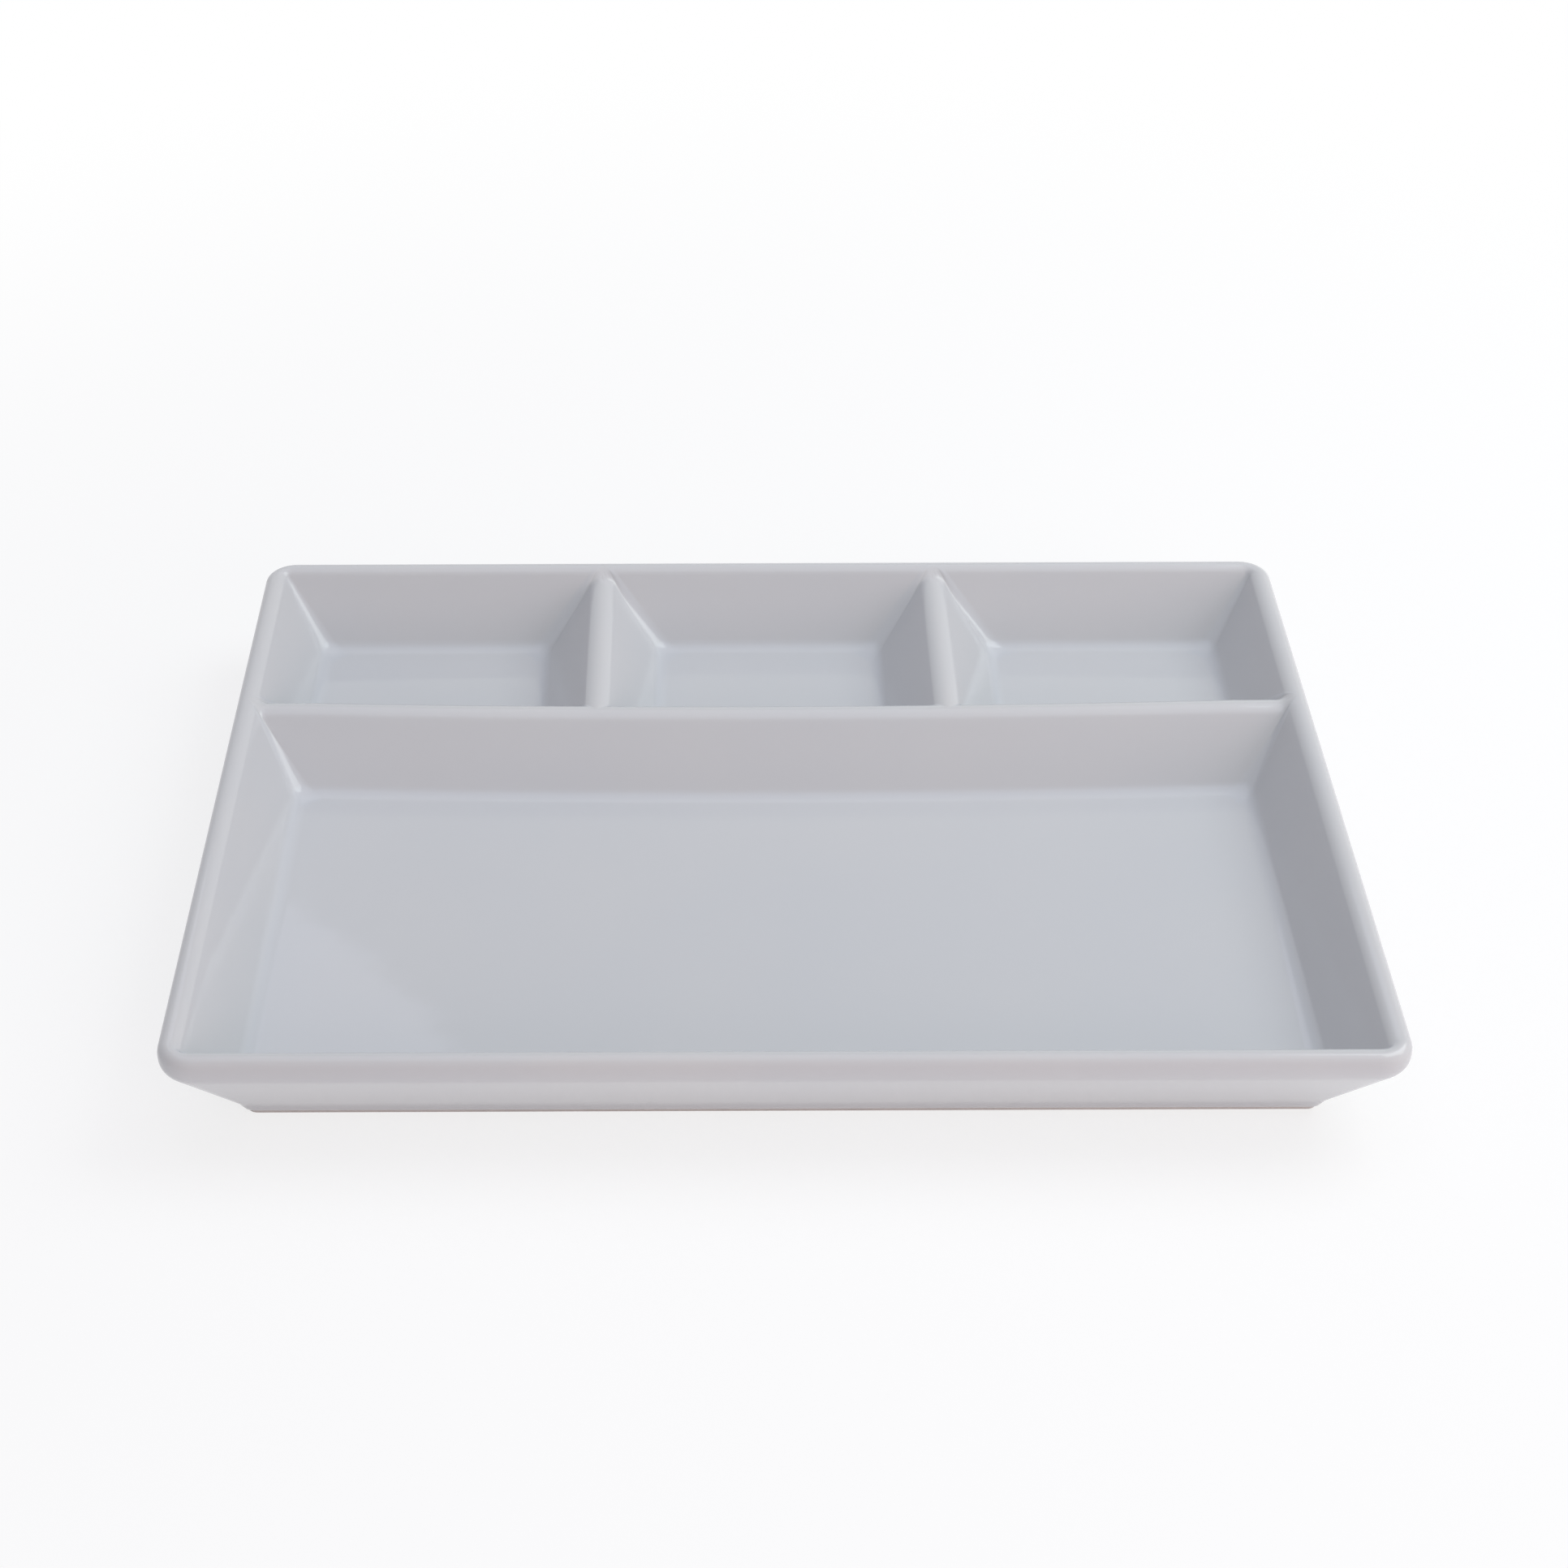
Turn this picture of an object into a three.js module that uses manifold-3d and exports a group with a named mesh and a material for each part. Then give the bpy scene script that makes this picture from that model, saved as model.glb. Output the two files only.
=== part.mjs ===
// Divided snack dish in white glazed porcelain: one large well in front and three small wells
// in a row behind it, all under one rounded rim, with slanted walls down to a low foot.
// Millimetres, Z up. The foot stands on Z = 0 and the dish is centred on the Z axis, with the
// small wells towards +Y. The dish is one fired clay body that wears two coats of glaze: one
// over everything that shows from above and outside, one in the hollow under the floor. The
// standing ring of the foot is wiped clean of glaze, so that it does not stick in the kiln.

import * as THREE from 'three';
import Module from 'manifold-3d';

// Overall size
const dishWidth = 240;
const dishDepth = 185;
const dishHeight = 25;

// Rim and outer wall. Wall angles are degrees away from upright. From its crest the rim turns
// tightly over the edge as far as the edge's tilt, then rolls under more slowly to the wall.
const rimEdgeRadius = 2;
const rimEdgeTilt = 80;
const rimRollRadius = 5.7;
const rimLipRadius = 3.2;
const rimCornerRadius = 7;
const outerWallAngle = 36;

// Foot
const footHeight = 4;
const footSideAngle = 28;
const footCornerRadius = 2;
const footEdgeRadius = 0.8;
const footRingWidth = 5;

// Wells and dividers. A divider's angle is the one it has where it meets the rim; it leans a
// little more where its crest has sunk.
const floorHeight = 8.6;
const innerWallAngle = 31.5;
const floorFilletRadius = 4.4;
const floorCornerRadius = 5.5;
const creaseRadius = 2;
const dividerAngle = 35.1;
const dividerCrestRadius = 3.7;
const smallRowDepth = 60;
const middleWellWidth = 79;

// What firing does: the floor settles in the middle. The divider crests lie lower than the rim.
const floorSag = 1.7;
const dividerDrop = 1.9;
const dividerDropBlend = 8;

// Hollow underside: a recess inside the foot, and channels that keep the dividers thin
const recessHeight = 4.2;
const recessDraftAngle = 15;
const recessFilletRadius = 2;
const recessCornerRadius = 4;
const wallThickness = 4.6;
const channelTopRadius = 2;
const channelEndAngle = 20;
const channelEndMargin = 5;

// Glaze
const glazeThickness = 0.3;
const bondGap = 0.02;
const glazeLineHeight = 1.5;

// Facets
const lipSteps = 3;
const filletSteps = 3;
const edgeSteps = 2;
const flankSteps = 1;
const rollSteps = 2;
const cornerSteps = 3;
const cellSteps = 4;
const largeSideSteps = 5;
const smallSideSteps = 4;
const channelSteps = 6;
const floorRings = [0.66, 0.33];
const mergeGrid = 1e4;

const wasm = await Module();
wasm.setup();

const { degToRad, lerp, smoothstep, clamp } = THREE.MathUtils;

// The roll's centre, at the height where the rim is widest, and the crest line of the rim
const edgeTilt = degToRad(rimEdgeTilt);
const rollRun = (rimEdgeRadius - rimRollRadius) * Math.sin(edgeTilt);
const rollHeight = dishHeight - rimEdgeRadius + (rimEdgeRadius - rimRollRadius) * Math.cos(edgeTilt);
const rimReach = rollRun + rimRollRadius;
const crestHalfWidth = dishWidth / 2 - rimReach;
const crestHalfDepth = dishDepth / 2 - rimReach;
const crestCornerRadius = rimCornerRadius - rimReach;
const rowCrest = dishDepth / 2 - smallRowDepth;
const columnCrest = middleWellWidth / 2;

// Part of a section round a centre. Tilt is the direction the surface faces, in degrees from
// straight up towards +run; a negative radius makes a hollow fillet.
function arc(centreRun, centreHeight, radius, fromTilt, toTilt, steps) {
  const points = [];
  for (let i = 0; i <= steps; i += 1) {
    const tilt = degToRad(lerp(fromTilt, toTilt, i / steps));
    const faceRun = Math.sin(tilt);
    const faceHeight = Math.cos(tilt);
    const run = centreRun + radius * faceRun;
    const height = centreHeight + radius * faceHeight;
    points.push({ run, height, faceRun, faceHeight });
  }
  return points;
}

// A section point moved into the clay, square to its surface
function sunk(point, depth) {
  return {
    run: point.run - depth * point.faceRun,
    height: point.height - depth * point.faceHeight,
  };
}

// Section of a well's side, from the crest line over the lip and down the wall to the floor
function wellSection(wallAngle, crestRadius) {
  const tilt = 90 - wallAngle;
  const lip = arc(0, dishHeight - crestRadius, crestRadius, 0, tilt, lipSteps);
  const lipEnd = lip[lipSteps];
  const filletCentre = floorHeight + floorFilletRadius;
  const filletTop = filletCentre - floorFilletRadius * Math.cos(degToRad(tilt));
  const wallRun = (lipEnd.height - filletTop) * Math.tan(degToRad(wallAngle));
  const floorRun = lipEnd.run + wallRun + floorFilletRadius * Math.sin(degToRad(tilt));
  const fillet = arc(floorRun, filletCentre, -floorFilletRadius, tilt, 0, filletSteps);
  return [...lip, ...fillet];
}

const rimSide = wellSection(innerWallAngle, rimLipRadius);
const dividerSide = wellSection(dividerAngle, dividerCrestRadius);

// Section of the outside, from the crest line of the rim outwards and down to the foot
const rimEdge = arc(0, dishHeight - rimEdgeRadius, rimEdgeRadius, 0, rimEdgeTilt, edgeSteps);
const rimFlank = arc(rollRun, rollHeight, rimRollRadius, rimEdgeTilt, 90, flankSteps);
const rimUnder = arc(rollRun, rollHeight, rimRollRadius, 90, 90 + outerWallAngle, rollSteps);
const rimRoll = [...rimEdge, ...rimFlank.slice(1), ...rimUnder.slice(1)];
const wallTop = rimRoll.at(-1);
const wallSlope = Math.tan(degToRad(outerWallAngle));
const footSlope = Math.tan(degToRad(footSideAngle));
const footTopRun = wallTop.run - (wallTop.height - footHeight) * wallSlope;
const footTilt = 90 + footSideAngle;
const footEdgeRun = footTopRun
  - footHeight * footSlope
  - footEdgeRadius * Math.tan(degToRad((90 - footSideAngle) / 2));
const footEdge = arc(footEdgeRun, footEdgeRadius, footEdgeRadius, footTilt, 180, rollSteps);

function footSidePoint(height) {
  return {
    run: footTopRun - (footHeight - height) * footSlope,
    height,
    faceRun: Math.sin(degToRad(footTilt)),
    faceHeight: Math.cos(degToRad(footTilt)),
  };
}

const glazedOutside = [...rimRoll, footSidePoint(footHeight), footSidePoint(glazeLineHeight)];

// Values from the first stop to the last, with the same number of steps between stops
function spread(stops, steps) {
  const values = [stops[0]];
  for (let s = 1; s < stops.length; s += 1) {
    for (let i = 1; i <= steps[s - 1]; i += 1) {
      values.push(lerp(stops[s - 1], stops[s], i / steps[s - 1]));
    }
  }
  return values;
}

function fractions(values) {
  const first = values[0];
  const span = values[values.length - 1] - first;
  return values.map((value) => (value - first) / span);
}

function evenly(steps) {
  return spread([0, 1], [steps]);
}

function turned(stations) {
  return stations.map((part) => 1 - part).reverse();
}

// Rectangle with rounded corners, counter-clockwise from its front left corner. Sides run in
// the order front, right, back, left, and each corner follows the side of its own number.
// Every point carries the share of the next side that it belongs to.
function outline(box, radii, stations) {
  const corners = [
    [box.left, box.front],
    [box.right, box.front],
    [box.right, box.back],
    [box.left, box.back],
  ];
  const points = [];
  for (let side = 0; side < 4; side += 1) {
    const next = (side + 1) % 4;
    const along = degToRad(90 * side);
    const direction = [Math.cos(along), Math.sin(along)];
    const inward = [-direction[1], direction[0]];
    const startRadius = radii[(side + 3) % 4];
    const endRadius = radii[side];
    const start = corners[side].map((value, axis) => value + startRadius * direction[axis]);
    const end = corners[next].map((value, axis) => value - endRadius * direction[axis]);
    for (const part of stations[side]) {
      points.push({ x: lerp(start[0], end[0], part), y: lerp(start[1], end[1], part), side, share: 0 });
    }
    const centre = end.map((value, axis) => value + endRadius * inward[axis]);
    for (let i = 1; i < cornerSteps; i += 1) {
      const share = i / cornerSteps;
      const turn = along + degToRad(90 * (share - 1));
      const x = centre[0] + endRadius * Math.cos(turn);
      const y = centre[1] + endRadius * Math.sin(turn);
      points.push({ x, y, side, share });
    }
  }
  return points;
}

// How far the floor has settled below a point: most in the middle of the dish, nothing at the
// edge of the floor, and nothing where the foot stands
const sagHalfWidth = crestHalfWidth - rimSide.at(-1).run;
const sagHalfDepth = crestHalfDepth - rimSide.at(-1).run;

function settled(x, y, z) {
  const across = Math.max(0, 1 - (x / sagHalfWidth) ** 2);
  const along = Math.max(0, 1 - (y / sagHalfDepth) ** 2);
  const lift = clamp(z / recessHeight, 0, 1);
  return [x, y, z - floorSag * across * along * lift];
}

// How far a divider's crest lies below the rim, at a point of the crest: nothing where it runs
// into the rim
function crestDrop(x, y) {
  const fromRim = Math.min(crestHalfWidth - Math.abs(x), crestHalfDepth - Math.abs(y));
  return dividerDrop * smoothstep(fromRim, 0, dividerDropBlend);
}

// A surface is a list of triangles of [x, y, z] points
function band(surface, below, above) {
  for (let i = 0; i < below.length; i += 1) {
    const j = (i + 1) % below.length;
    surface.push([below[i], below[j], above[j]], [below[i], above[j], above[i]]);
  }
}

function fan(surface, ring, centre) {
  for (let i = 0; i < ring.length; i += 1) {
    surface.push([ring[i], ring[(i + 1) % ring.length], centre]);
  }
}

function flipped(surface) {
  return surface.map(([a, b, c]) => [a, c, b]);
}

// Shared vertices are merged, and triangles that close up to a line are left out
function indexed(surface) {
  const places = new Map();
  const vertices = [];
  const triangles = [];
  for (const corners of surface) {
    const ids = corners.map((corner) => {
      const key = corner.map((value) => Math.round(value * mergeGrid)).join(' ');
      if (!places.has(key)) {
        places.set(key, places.size);
        vertices.push(...corner);
      }
      return places.get(key);
    });
    if (new Set(ids).size === 3) triangles.push(...ids);
  }
  return { vertices, triangles };
}

function surfaceGeometry(surface) {
  const { vertices, triangles } = indexed(surface);
  const geometry = new THREE.BufferGeometry();
  geometry.setAttribute('position', new THREE.Float32BufferAttribute(vertices, 3));
  geometry.setIndex(triangles);
  return geometry;
}

function solid(surface) {
  const { vertices, triangles } = indexed(surface);
  const vertProperties = Float32Array.from(vertices);
  const triVerts = Uint32Array.from(triangles);
  return new wasm.Manifold(new wasm.Mesh({ numProp: 3, vertProperties, triVerts }));
}

function solidGeometry(manifold) {
  const { vertProperties, triVerts } = manifold.getMesh();
  const geometry = new THREE.BufferGeometry();
  geometry.setAttribute('position', new THREE.BufferAttribute(vertProperties, 3));
  geometry.setIndex(new THREE.BufferAttribute(triVerts, 1));
  return geometry;
}

// The wells fill the space inside the rim's crest line, and meet along the divider crests.
// A corner on the rim is round; a corner where crests meet is sharp and opens below the lip.
// Along a divider one station lies where its crest has come all the way down from the rim.
const columnStops = [-crestHalfWidth, -columnCrest, columnCrest, crestHalfWidth];
const leftDropEnd = dividerDropBlend - crestHalfWidth;
const cellStations = fractions(
  spread([-crestHalfWidth, leftDropEnd, -columnCrest], [1, cellSteps - 1]),
);
const acrossStations = fractions(
  spread(
    [-crestHalfWidth, leftDropEnd, -columnCrest, columnCrest, -leftDropEnd, crestHalfWidth],
    [1, cellSteps - 1, cellSteps, cellSteps - 1, 1],
  ),
);
const columnStations = fractions(
  spread([rowCrest, crestHalfDepth - dividerDropBlend, crestHalfDepth], [smallSideSteps - 1, 1]),
);

function well(left, right, front, back, sideSections, crestRadii, stations) {
  return { box: { left, right, front, back }, sideSections, crestRadii, stations };
}

const largeWell = well(
  -crestHalfWidth, crestHalfWidth, -crestHalfDepth, rowCrest,
  [rimSide, rimSide, dividerSide, rimSide],
  [crestCornerRadius, 0, 0, crestCornerRadius],
  [acrossStations, evenly(largeSideSteps), acrossStations, evenly(largeSideSteps)],
);

function smallWell(column) {
  const first = column === 0;
  const last = column === columnStops.length - 2;
  const innerFront = last ? turned(cellStations) : evenly(cellSteps);
  return well(
    columnStops[column], columnStops[column + 1], rowCrest, crestHalfDepth,
    [dividerSide, last ? rimSide : dividerSide, rimSide, first ? rimSide : dividerSide],
    [0, last ? crestCornerRadius : 0, first ? crestCornerRadius : 0, 0],
    [
      first ? cellStations : innerFront,
      last ? evenly(smallSideSteps) : columnStations,
      evenly(cellSteps),
      first ? evenly(smallSideSteps) : turned(columnStations),
    ],
  );
}

const wells = [largeWell, smallWell(0), smallWell(1), smallWell(2)];

// Radius of a well's corner at one point of its section, before any depth into the clay: it
// tightens over the lip to the crease between two walls, and widens again towards the floor
function wellCornerRadius(crestRadius, section, index) {
  const { run } = section[index];
  const lipRun = section[lipSteps].run;
  const lipShare = Math.min(1, run / lipRun);
  const wallShare = Math.max(0, run - lipRun) / (section.at(-1).run - lipRun);
  return lerp(lerp(crestRadius, creaseRadius, lipShare), floorCornerRadius, wallShare);
}

// One ring of a well, at one point of its section and a depth into the clay. Below a crest that
// has dropped, the divider's whole side comes down in proportion to its height over the floor.
function wellRing({ box, sideSections, crestRadii, stations }, index, depth) {
  const points = sideSections.map((section) => section[index]);
  const [front, right, back, left] = points.map((point) => sunk(point, depth));
  const inner = {
    left: box.left + left.run,
    right: box.right - right.run,
    front: box.front + front.run,
    back: box.back - back.run,
  };
  const radii = crestRadii.map((radius, corner) => {
    return wellCornerRadius(radius, sideSections[corner], index) + depth * points[corner].faceRun;
  });
  const heights = [front, right, back, left].map((point) => point.height);
  const dividers = sideSections.map((section) => (section === dividerSide ? 1 : 0));
  const crest = outline(box, crestRadii, stations);
  return outline(inner, radii, stations).map(({ x, y, side, share }, i) => {
    const next = (side + 1) % 4;
    const height = lerp(heights[side], heights[next], share);
    const divider = lerp(dividers[side], dividers[next], share);
    const climb = Math.max(0, height - floorHeight) / (dishHeight - floorHeight);
    return settled(x, y, height - crestDrop(crest[i].x, crest[i].y) * divider * climb);
  });
}

// Smaller rings about the middle of a box, down to one point, at an even height
function closeFlat(surface, rim, height) {
  const size = rim.length;
  const middle = [0, 1].map((axis) => rim.reduce((sum, point) => sum + point[axis], 0) / size);
  let outer = rim;
  for (const scale of floorRings) {
    const ring = rim.map(([x, y]) => {
      return settled(lerp(middle[0], x, scale), lerp(middle[1], y, scale), height);
    });
    band(surface, outer, ring);
    outer = ring;
  }
  fan(surface, outer, settled(middle[0], middle[1], height));
}

function wellSurface(shape, depth) {
  const surface = [];
  const rings = rimSide.map((_, index) => wellRing(shape, index, depth));
  for (let i = 1; i < rings.length; i += 1) band(surface, rings[i - 1], rings[i]);
  closeFlat(surface, rings.at(-1), floorHeight - depth);
  return surface;
}

// The outside follows the same points round the rim as the wells do
const rimTangentX = crestHalfWidth - crestCornerRadius;
const rimTangentY = crestHalfDepth - crestCornerRadius;
const sideStations = fractions(
  spread([-rimTangentY, rowCrest, rimTangentY], [largeSideSteps, smallSideSteps]),
);
const backStations = fractions(
  spread([-rimTangentX, -columnCrest, columnCrest, rimTangentX], [cellSteps, cellSteps, cellSteps]),
);

const outsideStations = [acrossStations, sideStations, turned(backStations), turned(sideStations)];

// One ring of the outside, at a section point moved into the clay
function outsideRing(point, runDepth, heightDepth) {
  const run = point.run - runDepth * point.faceRun;
  const height = point.height - heightDepth * point.faceHeight;
  const halfWidth = crestHalfWidth + run;
  const halfDepth = crestHalfDepth + run;
  const box = { left: -halfWidth, right: halfWidth, front: -halfDepth, back: halfDepth };
  const upper = crestCornerRadius + point.run;
  const lower = lerp(footCornerRadius, rimCornerRadius, point.height / rollHeight);
  const radius = (point.height >= rollHeight ? upper : lower) - runDepth * point.faceRun;
  const ring = outline(box, [radius, radius, radius, radius], outsideStations);
  return ring.map(({ x, y }) => [x, y, height]);
}

// Underside: the recess inside the foot, with a channel under each divider. The hollow can be
// grown into the clay by the depth of a coat, and starts at a chosen height.
const recessTilt = 90 + recessDraftAngle;
const recessSlope = Math.tan(degToRad(recessDraftAngle));
const recessFilletHeight = recessHeight - recessFilletRadius;
const recessFilletStart = recessFilletHeight
  - recessFilletRadius * Math.cos(degToRad(recessTilt));
const recessFilletRun = recessFilletStart * recessSlope
  + recessFilletRadius * Math.sin(degToRad(recessTilt));
const footInnerRun = footEdgeRun - footRingWidth;

function recessRing(run, height) {
  const halfWidth = crestHalfWidth + footInnerRun - run;
  const halfDepth = crestHalfDepth + footInnerRun - run;
  const box = { left: -halfWidth, right: halfWidth, front: -halfDepth, back: halfDepth };
  const radius = recessCornerRadius;
  return outline(box, [radius, radius, radius, radius], outsideStations)
    .map(({ x, y }) => settled(x, y, height));
}

function recessSurface(depth, bottom) {
  const fillet = arc(
    recessFilletRun, recessFilletHeight, -recessFilletRadius, recessTilt, 180, rollSteps,
  ).map((point) => sunk(point, depth));
  const wallShift = depth / Math.cos(degToRad(recessDraftAngle));
  const rings = [recessRing(bottom * recessSlope - wallShift, bottom)];
  for (const { run, height } of fillet) rings.push(recessRing(run, height));
  const surface = [];
  for (let i = 1; i < rings.length; i += 1) band(surface, rings[i - 1], rings[i]);
  closeFlat(surface, rings.at(-1), recessHeight + depth);
  const base = [];
  fan(base, rings[0], settled(0, 0, bottom));
  return [...surface, ...flipped(base)];
}

// The channel's faces run beside the divider's faces at the wall's thickness
const dividerLipEnd = dividerSide[lipSteps];
const dividerSlope = Math.tan(degToRad(dividerAngle));
const channelShift = wallThickness / Math.cos(degToRad(dividerAngle));
const channelPeak = dividerLipEnd.height - (channelShift - dividerLipEnd.run) / dividerSlope;
const channelCentre = channelPeak - channelTopRadius / Math.sin(degToRad(dividerAngle));
const channelBase = recessFilletHeight;

// A channel between two ends along its own line, as rings that close to a ridge at the top
function channelSurface(centreX, centreY, halfLength, crosswise, depth) {
  const top = arc(0, channelCentre, channelTopRadius + depth, 90 - dividerAngle, 0, rollSteps);
  const foot = {
    run: (channelPeak - channelBase) * dividerSlope + depth / Math.cos(degToRad(dividerAngle)),
    height: channelBase,
  };
  const endSlope = Math.tan(degToRad(channelEndAngle));
  const surface = [];
  const rings = [foot, ...top].map(({ run, height }) => {
    const half = halfLength + depth - (height - channelBase) * endSlope;
    const halfX = crosswise ? run : half;
    const halfY = crosswise ? half : run;
    const box = {
      left: centreX - halfX, right: centreX + halfX, front: centreY - halfY, back: centreY + halfY,
    };
    const radius = Math.min(run, recessFilletRadius);
    const long = evenly(channelSteps);
    const short = [0, 1];
    const stations = crosswise ? [short, long, short, long] : [long, short, long, short];
    return outline(box, [radius, radius, radius, radius], stations)
      .map(({ x, y }) => settled(x, y, height));
  });
  for (let i = 1; i < rings.length; i += 1) band(surface, rings[i - 1], rings[i]);
  const base = [];
  fan(base, rings[0], settled(centreX, centreY, channelBase));
  return [...surface, ...flipped(base)];
}

const recessHalfWidth = crestHalfWidth + footInnerRun - recessFilletRun;
const recessHalfDepth = crestHalfDepth + footInnerRun - recessFilletRun;
const rowChannelHalf = recessHalfWidth - channelEndMargin;
const columnChannelEnd = recessHalfDepth - channelEndMargin;
const columnChannelHalf = (columnChannelEnd - rowCrest) / 2;
const columnChannelMiddle = (columnChannelEnd + rowCrest) / 2;

function hollow(depth, bottom) {
  const rowChannel = channelSurface(0, rowCrest, rowChannelHalf, false, depth);
  let space = solid(recessSurface(depth, bottom)).add(solid(rowChannel));
  for (const crest of [-columnCrest, columnCrest]) {
    const channel = channelSurface(crest, columnChannelMiddle, columnChannelHalf, true, depth);
    space = space.add(solid(channel));
  }
  return space;
}

// Clay body: the whole dish, thinner by a coat of glaze, with a bare foot
function porcelainBody() {
  const depth = glazeThickness + bondGap;
  const surface = wells.flatMap((shape) => wellSurface(shape, depth));
  const rings = glazedOutside.map((point) => outsideRing(point, depth, depth));
  for (const point of footEdge) rings.push(outsideRing(point, depth, 0));
  for (let i = 1; i < rings.length; i += 1) band(surface, rings[i], rings[i - 1]);
  const base = [];
  fan(base, rings.at(-1), [0, 0, 0]);
  surface.push(...flipped(base));
  const belowFoot = -footHeight;
  return solidGeometry(solid(surface).subtract(hollow(depth, belowFoot)));
}

// Glaze over the wells, the rim and the outer wall, down to the line above the foot
function glazeCoat() {
  const surface = [];
  for (const shape of wells) {
    surface.push(...wellSurface(shape, 0));
    surface.push(...flipped(wellSurface(shape, glazeThickness)));
  }
  const outer = glazedOutside.map((point) => outsideRing(point, 0, 0));
  const inner = glazedOutside.map((point) => outsideRing(point, glazeThickness, glazeThickness));
  const rings = [...outer, ...inner.reverse()];
  for (let i = 1; i < rings.length; i += 1) band(surface, rings[i], rings[i - 1]);
  return surfaceGeometry(surface);
}

// Glaze that lines the recess and its channels, above the bare foot
function undersideGlaze() {
  const lined = hollow(glazeThickness, glazeLineHeight);
  return solidGeometry(lined.subtract(hollow(0, -footHeight)));
}

function subPart(name, geometry, color, roughness) {
  geometry.computeVertexNormals();
  const material = new THREE.MeshStandardMaterial({ color, roughness, metalness: 0 });
  const mesh = new THREE.Mesh(geometry, material);
  mesh.name = name;
  return mesh;
}

const dish = new THREE.Group();
dish.add(subPart('porcelain_body', porcelainBody(), '#dcd9d3', 0.75));
dish.add(subPart('glaze_coat', glazeCoat(), '#d2d5da', 0.12));
dish.add(subPart('underside_glaze', undersideGlaze(), '#d0d2d6', 0.15));

export default dish;
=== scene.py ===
import math

import bmesh
import bpy
import numpy as np
from mathutils import Matrix, Vector


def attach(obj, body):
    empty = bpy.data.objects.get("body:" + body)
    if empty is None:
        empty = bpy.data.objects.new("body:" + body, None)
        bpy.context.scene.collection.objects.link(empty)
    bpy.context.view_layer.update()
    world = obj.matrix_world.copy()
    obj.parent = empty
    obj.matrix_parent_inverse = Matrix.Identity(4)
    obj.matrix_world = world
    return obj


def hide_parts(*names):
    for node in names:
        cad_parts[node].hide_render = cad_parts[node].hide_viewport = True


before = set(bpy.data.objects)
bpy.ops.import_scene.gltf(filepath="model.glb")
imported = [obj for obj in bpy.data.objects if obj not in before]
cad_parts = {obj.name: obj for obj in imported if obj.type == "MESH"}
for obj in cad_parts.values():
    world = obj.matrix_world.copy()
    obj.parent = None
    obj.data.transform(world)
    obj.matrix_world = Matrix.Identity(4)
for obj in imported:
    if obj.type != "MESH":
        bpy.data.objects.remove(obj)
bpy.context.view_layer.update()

metresPerMm = 0.001
print("frame loaded:", ", ".join(sorted(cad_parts)))

# White porcelain snack dish: a large well in front, three small wells behind it, one rounded rim.
# It wears a gloss glaze above and outside, a second glaze in the hollow underneath, and stands on
# a foot ring of bare clay. All three are built here finely, from the CAD's section, with tighter
# creases than the CAD has and with dividers that run straight into the rim.

dish = {  # millimetres, and degrees away from upright
    "width": 240, "depth": 185, "height": 25,
    "rimEdge": 2, "rimEdgeTilt": 80, "rimRoll": 5.7, "rimLip": 3.2, "rimCorner": 7,
    "outerWallAngle": 36,
    "footHeight": 4, "footSideAngle": 28, "footCorner": 2, "footEdge": 0.8, "footRing": 5,
    "floorHeight": 8.6, "innerWallAngle": 31.5, "floorFillet": 4.4, "floorCorner": 4.5,
    "crease": 0.9, "dividerAngle": 35.1, "dividerCrest": 3.7,
    "smallRowDepth": 60, "middleWellWidth": 79,
    "floorSag": 1.7, "dividerDrop": 1.9, "junction": 1.2, "recessHeight": 4.2,
    "glaze": 0.3, "bond": 0.02, "glazeLine": 1.5,
}

# The rim turns tightly over its edge, then rolls under more slowly; it is widest at the roll's centre
edgeTilt = math.radians(dish["rimEdgeTilt"])
rollRun = (dish["rimEdge"] - dish["rimRoll"]) * math.sin(edgeTilt)
rollHeight = dish["height"] - dish["rimEdge"] + (dish["rimEdge"] - dish["rimRoll"]) * math.cos(edgeTilt)
rimReach = rollRun + dish["rimRoll"]
crestHalf = np.array([dish["width"], dish["depth"]]) / 2 - rimReach
crestCorner = dish["rimCorner"] - rimReach
rowCrest = dish["depth"] / 2 - dish["smallRowDepth"]
columnCrest = dish["middleWellWidth"] / 2


def slope(angle):
    return math.tan(math.radians(angle))


def blend(a, b, share):
    return a + (b - a) * share


# A section row is run, height, and the way the surface faces there (along the run, and up)
def arcRows(centreRun, centreHeight, radius, fromTilt, toTilt, steps):
    tilt = np.radians(np.linspace(fromTilt, toTilt, steps + 1))
    faceRun, faceUp = np.sin(tilt), np.cos(tilt)
    run, height = centreRun + radius * faceRun, centreHeight + radius * faceUp
    return np.column_stack([run, height, faceRun, faceUp])


def straightRows(start, end, steps):  # the rows between two ends, without the ends
    share = np.linspace(0, 1, steps + 1)[1:-1, None]
    return blend(start, end, share)


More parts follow.
